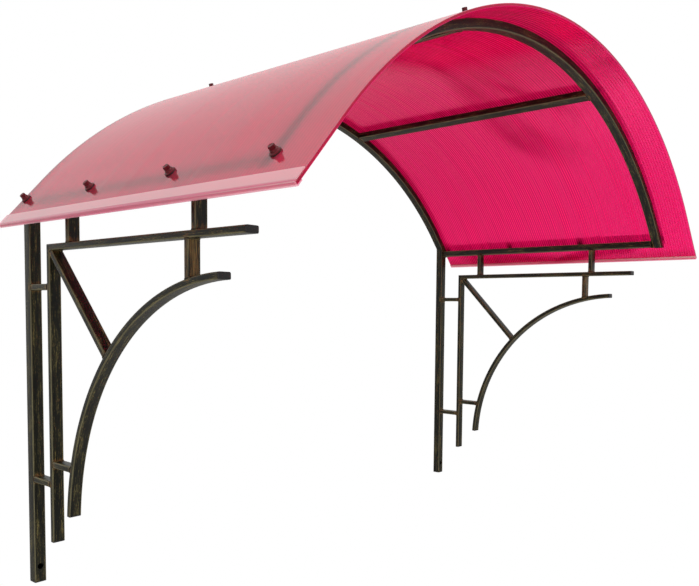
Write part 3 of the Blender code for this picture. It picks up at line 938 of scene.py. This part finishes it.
@dataclass
class Bracket(WeldedFrame):
    """One wall bracket. Distances are out from the wall and down from the arm's top."""

    side: Side = Side.LEFT
    flat: tuple[float, float] = (0.020, 0.010)
    leg_depth: float = 0.020
    leg_foot: float = 0.5765
    upright_out: float = 0.078
    upright_foot: float = 0.492
    arm_reach: float = 0.581
    rail_rise: float = 0.055
    arc_radius: float = 0.4074
    arc_clearance: float = 0.0445
    arc_from: float = math.radians(3.6)
    arc_to: float = math.radians(87.9)
    arc_steps: int = 48
    strut_out: float = 0.4595
    risers_out: tuple[float, float] = (0.146, 0.475)
    leg_spacers: tuple[float, float] = (0.069, 0.3955)
    arc_spacer: float = 0.361
    plug_cap: float = 0.002
    hole_radius: float = 0.0052
    hole_height: float = 0.028
    hole_sides: int = 32

    def out(self, distance: float, drop: float) -> Array:
        """A point on the bracket's middle plane."""
        x = self.side.value * (VAULT.frame_width - self.flat[0]) / 2
        return np.array([x, -distance, VAULT.rail_bottom - self.rail_rise - drop])

    def run(self, name: str, start: Array, end: Array, welds: tuple[bool, bool] = (True, True),
            size: tuple[float, float] | None = None, **more: object) -> None:
        """Adds a straight tube.

        Args:
            name: CAD node of the tube, without its side.
            start: Middle of its first end.
            end: Middle of its last end.
            welds: Whether the first and the last end are welded.
            size: Width and depth, if not those of the flat tube.
            more: Other fields of the tube.
        """
        tube = straight(f"{self.side.label}_{name}", start, end, ALONG_X, size or self.flat, **more)
        self.add(tube, *welds)

    def stand_leg(self) -> None:
        """Stands the square leg against the wall, cut at its top to the slope of the arch's underside."""
        along = self.side.value * VAULT.edge_along
        slope = Plane(VAULT.points(along, -VAULT.tube_depth - VAULT.gap), VAULT.frame(along)[0])
        low, top = (self.out(self.leg_depth / 2, drop) for drop in (self.leg_foot - self.plug_room, 0.0))
        self.run("wall_leg", low, top, (False, True), (self.flat[0], self.leg_depth), last_cuts=(slope,))

    def stand_corner(self) -> None:
        """Lays out the upright and the arm, mitred where they meet."""
        half = self.flat[1] / 2
        mitre = unit(ALONG_Y - ALONG_Z)
        corner = self.out(self.upright_out, 0.0)
        low = self.out(self.upright_out + half, self.upright_foot - self.plug_room)
        self.run("upright", low, self.out(self.upright_out + half, 0.0), (False, False),
                 last_cuts=(Plane(corner + mitre * VAULT.gap / 2, mitre),))
        tip = self.out(self.arm_reach - self.plug_room, half)
        self.run("arm", self.out(self.upright_out, half), tip, (False, False),
                 first_cuts=(Plane(corner - mitre * VAULT.gap / 2, mitre),))

    @property
    def plug_room(self) -> float:
        """Length that an end plug takes up outside the tube."""
        return self.plug_cap + VAULT.gap

    @property
    def arc_centre(self) -> Array:
        """Point that the arc is bent about, a clearance and a radius away from upright and arm."""
        reach = self.arc_clearance + self.arc_radius
        return self.out(self.upright_out + self.flat[1] + reach, self.flat[1] + reach)

    def bend_arc(self) -> None:
        """Bends the arc: centre + (radius - half the depth) * (cos, sin) of the angle, in Y and Z."""
        angles = np.linspace(self.arc_from, self.arc_to, self.arc_steps + 1)
        rays = np.stack([np.zeros_like(angles), np.cos(angles), np.sin(angles)], axis=1)
        centres = self.arc_centre + rays * (self.arc_radius - self.flat[1] / 2)
        across = np.broadcast_to(ALONG_X, rays.shape)
        self.add(Tube(f"{self.side.label}_arc", centres, across, rays, *self.flat), False, False)

    def touching(self, ray: Array) -> tuple[Plane, ...]:
        """The plane that touches the arc where a ray from its centre leaves it."""
        return (Plane(self.arc_centre + ray * (self.arc_radius + VAULT.gap), ray),)

    def tie_arc(self) -> None:
        """Lays out the brace, the spacer and the strut that end on the arc."""
        gap, centre, radius = VAULT.gap, self.arc_centre, self.arc_radius
        front = self.upright_out + self.flat[1]
        inner = self.out(front, self.flat[1])
        cuts = self.touching(unit(inner - centre))
        self.run("brace", inner, cuts[0].point, last_cuts=cuts,
                 first_cuts=(Plane(inner - ALONG_Z * gap, ALONG_Z), Plane(inner - ALONG_Y * gap, ALONG_Y)))

        rise = self.out(0.0, self.arc_spacer)[2] - centre[2]
        ray = np.array([0.0, math.sqrt(radius ** 2 - rise ** 2), rise]) / radius
        self.run("arc_spacer", self.out(front + gap, self.arc_spacer),
                 self.out(front + self.arc_clearance, self.arc_spacer), last_cuts=self.touching(ray))

        inset = -self.strut_out - centre[1]
        ray = np.array([0.0, inset, math.sqrt(radius ** 2 - inset ** 2)]) / radius
        self.run("arc_strut", self.out(self.strut_out, self.flat[1] + gap),
                 self.out(self.strut_out, 2 * self.flat[1]), last_cuts=self.touching(ray))

    def build(self) -> None:
        """Lays out the tubes from the wall outwards, dresses them and plugs their open ends."""
        gap = VAULT.gap
        self.stand_leg()
        self.stand_corner()
        for name, drop in zip(("upper_spacer", "lower_spacer"), self.leg_spacers):
            self.run(name, self.out(self.leg_depth + gap, drop), self.out(self.upright_out - gap, drop))
        self.bend_arc()
        self.tie_arc()
        for name, distance in zip(("rear_riser", "front_riser"), self.risers_out):
            self.run(name, self.out(distance, -gap), self.out(distance, gap - self.rail_rise))
        self.dress()
        leg, upright, arm, _, _, arc = self.tubes[:6]
        for name, tube, last in (("wall_leg", leg, False), ("upright", upright, False), ("arm", arm, True),
                                 ("arc_foot", arc, False), ("arc_tip", arc, True)):
            row = -1 if last else 0
            outward = np.cross(ALONG_X, tube.up[row]) * (1 if last else -1)
            plug = EndPlug((tube.width, tube.depth))
            plug.build(f"{self.side.label}_{name}_plug", tube.centres[row], outward)

    def finish_tube(self, tube: Tube, surface: Surface) -> bpy.types.Object:
        """Makes the piece of one tube, and drills the wall leg's bolt hole.

        Args:
            tube: The tube.
            surface: Its surface.

        Returns:
            The object.
        """
        obj = super().finish_tube(tube, surface)
        if tube.name.endswith("wall_leg"):
            self.drill(obj, self.out(self.leg_depth / 2, self.leg_foot - self.hole_height))
        return obj

    def drill(self, obj: bpy.types.Object, centre: Array) -> None:
        """Cuts a round hole through both walls of the leg, along Y.

        Args:
            obj: The leg.
            centre: Middle of the hole.
        """
        angle = np.linspace(0.0, 2 * math.pi, self.hole_sides, endpoint=False)
        ring = self.hole_radius * np.stack([np.cos(angle), np.zeros_like(angle), np.sin(angle)], axis=1)
        deep = self.leg_depth
        rows = [centre + share * ring + ALONG_Y * y
                for share, y in ((0, -deep), (1, -deep), (1, deep), (0, deep))]
        cutter = add_object("drill", Surface().add(np.stack(rows), wrap=True).mesh("drill", mapped=False))
        boolean = obj.modifiers.new("bolt_hole", "BOOLEAN")
        boolean.solver = "EXACT"
        boolean.object = cutter
        bpy.context.view_layer.update()
        drilled = bpy.data.meshes.new_from_object(obj.evaluated_get(bpy.context.evaluated_depsgraph_get()))
        obj.modifiers.clear()
        obj.data = drilled
        smooth(drilled)
        bpy.data.objects.remove(cutter)


@dataclass(frozen=True)
class EndPlug:
    """Push-in plastic plug: a domed cap over the tube's end and a ribbed boss inside it."""

    size: tuple[float, float]
    cap: float = 0.002
    boss: float = 0.007
    corner: float = 0.0022
    sharpest: float = 0.0004
    wall: float = 0.0018

    def build(self, name: str, place: Array, outward: Array) -> None:
        """Makes the plug. Each row is the tube's outline drawn in by some length, at some height.

        Args:
            name: CAD node of the plug.
            place: Middle of the tube's end.
            outward: Direction out of the tube.
        """
        gap, wall, cap, boss = VAULT.gap, self.wall, self.cap, self.boss
        rows = ((wall + 0.0004, -boss), (wall, -boss + 0.0008), (wall, -0.0002), (wall, gap), (0.0001, gap),
                (0.0, gap + 0.0003), (0.0, cap - 0.0004), (0.0002, cap - 0.0001), (0.0006, cap + 0.0001),
                (0.0016, cap + gap))
        sections = [rounded_section(self.size[0] - 2 * inset, self.size[1] - 2 * inset,
                                    max(self.corner - inset, self.sharpest))[0] for inset, _ in rows]
        closed = [0 * sections[0], *sections, 0 * sections[0]]
        heights = np.array([-boss, *(height for _, height in rows), cap + gap])
        outlines = np.stack(closed)
        grid = (place + outward * heights[:, None, None] + outlines[..., :1] * ALONG_X
                + outlines[..., 1:] * np.cross(outward, ALONG_X))
        Surface().add(grid, wrap=True).piece(f"{name}_cap", PLUG_PLASTIC, "plug", name)


# Roof


@dataclass(frozen=True)
class RoofSheet:
    """Twin-wall sheet: two skins with ribs between them that run along the arch."""

    thickness: float = 0.004
    skin: float = 0.00045
    rib: float = 0.0004
    clearance: float = 0.00002
    cells: int = 123
    rear: float = 0.011
    front_overhang: float = 0.068
    side_overhang: float = 0.0545
    steps: int = 64

    @property
    def depth(self) -> float:
        """Size of the sheet away from the wall."""
        return VAULT.frame_depth + self.front_overhang - self.rear

    @property
    def half_length(self) -> float:
        """Length along the sheet from its crown to its lower end."""
        return VAULT.edge_along + self.side_overhang

    def walls(self, outs: Array, low: float, high: float) -> Surface:
        """Closed walls that run along the arch.

        A wall is a rectangle from out to out by rise to rise, carried along the vault.

        Args:
            outs: Distances from the sheet's rear edge, a row of two for each wall.
            low: Rise of their lower faces above the sheet's underside.
            high: Rise of their upper faces.

        Returns:
            The surface of all the walls.
        """
        along = VAULT.stations(self.half_length, self.steps)
        lower, upper = (VAULT.points(along, VAULT.gap + rise) for rise in (low, high))
        surface = Surface()
        for near, far in outs:
            shifts = -ALONG_Y * (self.rear + np.array([[near], [far], [far], [near]]))
            loop = np.stack([lower, lower, upper, upper], axis=1) + shifts[None]
            surface.add(loop, wrap=True)
            for row in (0, -1):
                surface.add(np.stack([loop[row, [0, 1]], loop[row, [3, 2]]]))
        return surface

    def build(self) -> None:
        """Makes the two skins and the ribs."""
        outer, inner = (replace(skin, rib_pitch=self.depth / self.cells, rib_start=self.rear)
                        for skin in (OUTER_SKIN, INNER_SKIN))
        whole = np.array([[0.0, self.depth]])
        self.walls(whole, self.thickness - self.skin, self.thickness).piece(
            "roof_sheet_outer_skin", outer, "sheet", "roof_sheet")
        self.walls(whole, 0.0, self.skin).piece("roof_sheet_inner_skin", inner, "sheet")
        middles = np.linspace(0.0, self.depth, self.cells + 1)
        middles = np.clip(middles, self.rib / 2, self.depth - self.rib / 2)
        outs = np.stack([middles - self.rib / 2, middles + self.rib / 2], axis=1)
        self.walls(outs, self.skin + self.clearance, self.thickness - self.skin - self.clearance).piece(
            "roof_sheet_ribs", RIBS, "sheet")


@dataclass(frozen=True)
class EndProfile:
    """U shaped strip over the open cells of the sheet's lower end."""

    side: Side
    sheet: RoofSheet
    wall: float = 0.0015
    outer_flange: float = 0.0235
    inner_flange: float = 0.0105
    bend: float = 0.0009
    bend_points: int = 6
    past_sheet: float = 0.0055

    def build(self) -> None:
        """Makes the strip: a ribbon of even thickness along a U with round bends."""
        gap, half = VAULT.gap, self.wall / 2
        low, high = -half, self.sheet.thickness + 2 * gap + half
        tip = self.sheet.half_length + gap + self.wall
        web = tip - half
        turn = np.linspace(0.0, math.pi / 2, self.bend_points)
        outer_bend = np.stack([web - self.bend + self.bend * np.sin(turn),
                               high - self.bend + self.bend * np.cos(turn)], axis=1)
        inner_bend = np.stack([web - self.bend + self.bend * np.cos(turn),
                               low + self.bend - self.bend * np.sin(turn)], axis=1)
        fade = tip - self.past_sheet - np.array([0.0004, 0.0])
        middle = np.concatenate([
            [(tip - self.outer_flange, high)], [(a, high) for a in fade], outer_bend, inner_bend,
            [(a, low) for a in fade[::-1]], [(tip - self.inner_flange, low)]])
        heading = unit(np.gradient(middle, axis=0))
        sideways = np.stack([-heading[:, 1], heading[:, 0]], axis=1) * half
        loop = np.concatenate([middle + sideways, (middle - sideways)[::-1]])
        along = self.side.value * loop[:, 0]
        section = np.stack([VAULT.points(a, r) for a, r in zip(along, loop[:, 1])])
        outs = np.array([0.0, 0.5, 1.0]) * self.sheet.depth + self.sheet.rear
        grid = section[None] - ALONG_Y * outs[:, None, None]
        over_cells = ((loop[:, 0] > fade.mean()) | (loop[:, 1] < half)).astype(float)
        surface = Surface().add(grid, True, over_cells)
        count = len(middle)
        for row in (0, -1):
            surface.add(np.stack([grid[row, :count], grid[row, count:][::-1]]))
        name = f"{self.side.label}_end_profile"
        surface.piece(f"{name}_strip", END_STRIP, "end_strip", name)


@dataclass(frozen=True)
class RoofingScrew:
    """Hexagon head screw with a flange, a dished steel washer and a rubber seal."""

    seal_radius: float = 0.0082
    seal_height: float = 0.0014
    washer_top: float = 0.0048
    flange_radius: float = 0.0055
    flange_top: float = 0.0057
    head_top: float = 0.0108
    across_flats: float = 0.0080
    shank_radius: float = 0.0024
    shank_end: float = -0.0161
    shank_taper: float = 0.003
    thread_pitch: float = 0.0018
    thread_root: float = 0.80
    rows_a_thread: int = 6
    washer_play: float = 0.0003
    facets: int = 48

    def turned(self, rows: Array, place: Array, normal: Array, hexed: Array | None = None) -> Array:
        """Turns (radius, height) rows about the screw's axis.

        A row marked as hexed has the hexagon's radius, half the width across flats over the cosine
        of the angle from the nearest flat's middle, where that is less than its own.

        Args:
            rows: Radius and height of each row.
            place: Point where the axis leaves the sheet.
            normal: Direction of the axis.
            hexed: Whether each row is cut to the hexagon.

        Returns:
            A grid that wraps.
        """
        angle = np.linspace(0.0, 2 * math.pi, self.facets, endpoint=False)
        radius = np.broadcast_to(rows[:, :1], (len(rows), self.facets))
        if hexed is not None:
            from_flat = (angle + math.pi / 6) % (math.pi / 3) - math.pi / 6
            flats = self.across_flats / 2 / np.cos(from_flat)
            radius = np.where(hexed[:, None], np.minimum(radius, flats[None]), radius)
        aside = unit(np.cross(normal, ALONG_Y))
        ahead = np.cross(normal, aside)
        ring = np.cos(angle)[:, None] * aside + np.sin(angle)[:, None] * ahead
        return place + radius[..., None] * ring[None] + rows[:, 1][:, None, None] * normal

    def head(self) -> tuple[Array, Array]:
        """Rows of the dimpled hexagon head and its flange, from the axis at the top to the shank.

        Returns:
            The rows, and whether each is cut to the hexagon.
        """
        top, point = self.head_top, self.across_flats / 2 / math.cos(math.pi / 6)
        brim, ledge = self.flange_radius, self.flange_top
        rows = np.array([
            (0.0, top - 0.0003), (0.0024, top - 0.0003), (0.0030, top), (0.0038, top), (0.0043, top - 0.0003),
            (point, top - 0.0008), (point, ledge + 0.0003), (point + 0.0002, ledge + 0.0001),
            (brim - 0.0003, ledge), (brim, ledge - 0.0004), (brim, self.washer_top),
            (self.shank_radius, self.washer_top), (self.shank_radius, 0.0)])
        return rows, np.isin(np.arange(len(rows)), (4, 5, 6))

    def shank(self) -> Array:
        """Rows of the threaded shank, down to its point.

        Returns:
            The rows.
        """
        turns = int(-self.shank_end / self.thread_pitch * self.rows_a_thread)
        depth = np.linspace(0.0, self.shank_end, turns)
        taper = np.clip((depth - self.shank_end) / self.shank_taper, 0.0, 1.0)
        on_crest = np.arange(turns) % self.rows_a_thread < self.rows_a_thread / 2
        ridge = np.where(on_crest, 1.0, self.thread_root)
        return np.stack([self.shank_radius * taper * ridge, depth], axis=1)

    def build(self, number: int, place: Array, normal: Array) -> None:
        """Makes the screw, its washer and its seal in place of one CAD node.

        Args:
            number: Number of the screw.
            place: Point on the sheet's outer face.
            normal: Direction out of the sheet.
        """
        name = f"screw_{number:02d}"
        head, hexed = self.head()
        surface = Surface().add(self.turned(head, place, normal, hexed), wrap=True)
        surface.add(self.turned(self.shank(), place, normal), wrap=True)
        surface.piece(f"{name}_hex_head", WINE_RED_COAT, "screw", name)

        rim, bore = self.seal_radius, self.shank_radius + self.washer_play
        top, seal = self.washer_top, self.seal_height
        washer = ((bore, 0.0030), (bore, top), (0.0054, top), (0.0057, top - 0.0004), (0.0058, 0.0034),
                  (0.0064, 0.0029), (rim - 0.0006, 0.0026), (rim - 0.0001, 0.0023), (rim - 0.0001, seal),
                  (rim - 0.0007, seal), (0.0058, seal + 0.0006), (bore, 0.0030))
        rubber = ((bore, 0.0001), (bore, seal), (rim - 0.0004, seal), (rim - 0.0001, seal - 0.0004),
                  (rim, 0.0006), (rim - 0.0002, 0.0001), (bore, 0.0001))
        for label, rows, finish in (("washer", washer, WINE_RED_COAT), ("seal", rubber, SEAL_RUBBER)):
            Surface().add(self.turned(np.array(rows), place, normal), wrap=True).piece(
                f"{name}_{label}", finish, "screw")


@dataclass(frozen=True)
class ScrewRows:
    """Where the screws stand: four along each rail and two on each purlin."""

    sheet: RoofSheet
    screw: RoofingScrew = RoofingScrew()
    rear: float = 0.027
    inset_front: float = 0.005
    uphill_of_edge: float = 0.0045
    per_rail: int = 4

    def build(self) -> None:
        """Makes every screw, counted from the left rail to the right one and from the wall out."""
        outs = np.linspace(self.rear, VAULT.frame_depth - self.inset_front, self.per_rail)
        rail = VAULT.edge_along - self.uphill_of_edge
        purlin = VAULT.edge_along / 3
        rise = VAULT.gap * 2 + self.sheet.thickness
        number = 0
        for along, row in ((-rail, outs), (-purlin, outs[[0, -1]]), (purlin, outs[[0, -1]]), (rail, outs)):
            normal, _ = VAULT.frame(along)
            for out in row:
                number += 1
                self.screw.build(number, VAULT.points(along, rise) - ALONG_Y * out, normal)


# Studio


@dataclass(frozen=True)
class PhotoCamera:
    """Camera at the photograph's viewing angle. Angles are in degrees, lens and sensor in mm."""

    place: tuple[float, float, float] = (-1.1784, -1.2839, -0.4653)
    yaw: float = 50.346
    pitch: float = -3.394
    roll: float = 0.639
    lens: float = 38.29
    sensor: float = 36.0
    shift: tuple[float, float] = (-0.0568, 0.0870)
    nearest: float = 0.05

    def build(self) -> None:
        """Makes the camera. It looks along (sin yaw cos pitch, cos yaw cos pitch, sin pitch)."""
        data = bpy.data.cameras.new("photo_camera")
        data.lens = self.lens
        data.sensor_fit = "HORIZONTAL"
        data.sensor_width = self.sensor
        data.shift_x, data.shift_y = self.shift
        data.clip_start = self.nearest
        yaw, pitch, roll = (math.radians(a) for a in (self.yaw, self.pitch, self.roll))
        ahead = Vector((math.sin(yaw) * math.cos(pitch), math.cos(yaw) * math.cos(pitch), math.sin(pitch)))
        right = ahead.cross(Vector((0, 0, 1))).normalized()
        up = right.cross(ahead)
        turned_right = right * math.cos(roll) + up * math.sin(roll)
        turned_up = up * math.cos(roll) - right * math.sin(roll)
        matrix = Matrix((turned_right, turned_up, -ahead)).transposed().to_4x4()
        matrix.translation = Vector(self.place)
        camera = add_object("photo_camera", data)
        camera.matrix_world = matrix
        bpy.context.scene.camera = camera


@dataclass(frozen=True)
class Softbox:
    """One soft white lamp aimed at a point. Unless mirrored, it lights and no shiny face shows it."""

    name: str
    place: tuple[float, float, float]
    aim: tuple[float, float, float]
    size: float
    power: float
    mirrored: bool = True

    def build(self) -> None:
        """Makes the lamp."""
        data = bpy.data.lights.new(self.name, "AREA")
        data.shape = "DISK"
        data.size = self.size
        data.energy = self.power
        lamp = add_object(self.name, data)
        lamp.visible_glossy = self.mirrored
        lamp.location = self.place
        lamp.rotation_euler = (Vector(self.aim) - Vector(self.place)).to_track_quat("-Z", "Y").to_euler()


@dataclass(frozen=True)
class Studio:
    """White surroundings, a pale floor well below the bracket feet, and soft lamps."""

    floor_height: float = -2.15
    floor_half_size: float = 14.0
    floor_colour: str = "#e6e4e1"
    floor_roughness: float = 0.9
    floor_fade: tuple[float, float] = (1.2, 2.6)
    middle_out: float = 0.35
    sky_strength: float = 0.62
    lamps: tuple[Softbox, ...] = (
        Softbox("sky_softbox", (-1.0, -2.2, 2.4), (0.0, -0.35, -0.2), 2.4, 92.0),
        Softbox("side_softbox", (-2.3, -1.5, -0.9), (-0.4, -0.3, -0.4), 1.4, 12.0),
        Softbox("underside_softbox", (2.5, -0.35, -0.95), (-0.45, -0.35, -0.12), 0.7, 58.0, mirrored=False),
    )

    def build(self) -> None:
        """Makes the world, the floor and the lamps. Straight on, mirrored or through, the world is white."""
        scene = bpy.context.scene
        scene.view_settings.view_transform = "Standard"
        world = bpy.data.worlds.new("white_studio")
        scene.world = world
        world.use_nodes = True
        tree = world.node_tree
        rays = add_node(tree, "LightPath").node.outputs
        seen = rays["Is Camera Ray"]
        for kind in ("Is Transmission Ray", "Is Glossy Ray"):
            seen = add_node(tree, "Math", (seen, rays[kind]), operation="MAXIMUM")
        strength = add_node(tree, "MapRange", (seen, 0.0, 1.0, self.sky_strength, 1.0))
        fill(tree.nodes["Background"], (WHITE, strength))
        self.floor()
        for lamp in self.lamps:
            lamp.build()

    def floor(self) -> None:
        """Makes the floor. It takes shadows, and past the object it fades to the white surroundings."""
        half, height = self.floor_half_size, self.floor_height
        mesh = bpy.data.meshes.new("studio_floor")
        corners = [(x * half, y * half, height) for x, y in ((-1, -1), (1, -1), (1, 1), (-1, 1))]
        mesh.from_pydata(corners, [], [(0, 1, 2, 3)])
        material = bpy.data.materials.new("pale_floor")
        material.use_nodes = True
        tree = material.node_tree
        shader = tree.nodes[PRINCIPLED]
        fill(shader, {"Base Color": linear(self.floor_colour), "Roughness": self.floor_roughness})
        place = add_node(tree, "TexCoord", take="Object")
        middle = (0.0, -self.middle_out, height)
        distance = add_node(tree, "VectorMath", (place, middle), "Value", operation="DISTANCE")
        far = add_node(tree, "MapRange", (distance, *self.floor_fade), interpolation_type="SMOOTHSTEP")
        straight_on = add_node(tree, "LightPath", take="Is Camera Ray")
        fade = add_node(tree, "Math", (straight_on, far), operation="MULTIPLY")
        white = add_node(tree, "Emission", (WHITE, 1.0))
        mix = add_node(tree, "MixShader", (fade, shader.outputs["BSDF"], white))
        fill(tree.nodes[OUTPUT], (mix,))
        mesh.materials.append(material)
        floor = add_object("studio_floor", mesh)


def main() -> None:
    """Builds the canopy and the studio."""
    logging.basicConfig(level=logging.INFO, format="%(name)s: %(message)s")
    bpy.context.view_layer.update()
    PhotoCamera().build()
    Studio().build()
    VaultFrame().build()
    for side in Side:
        Bracket(label=side.label, side=side).build()
    sheet = RoofSheet()
    sheet.build()
    for side in Side:
        EndProfile(side, sheet).build()
    ScrewRows(sheet).build()


if __name__ == "__main__":
    main()
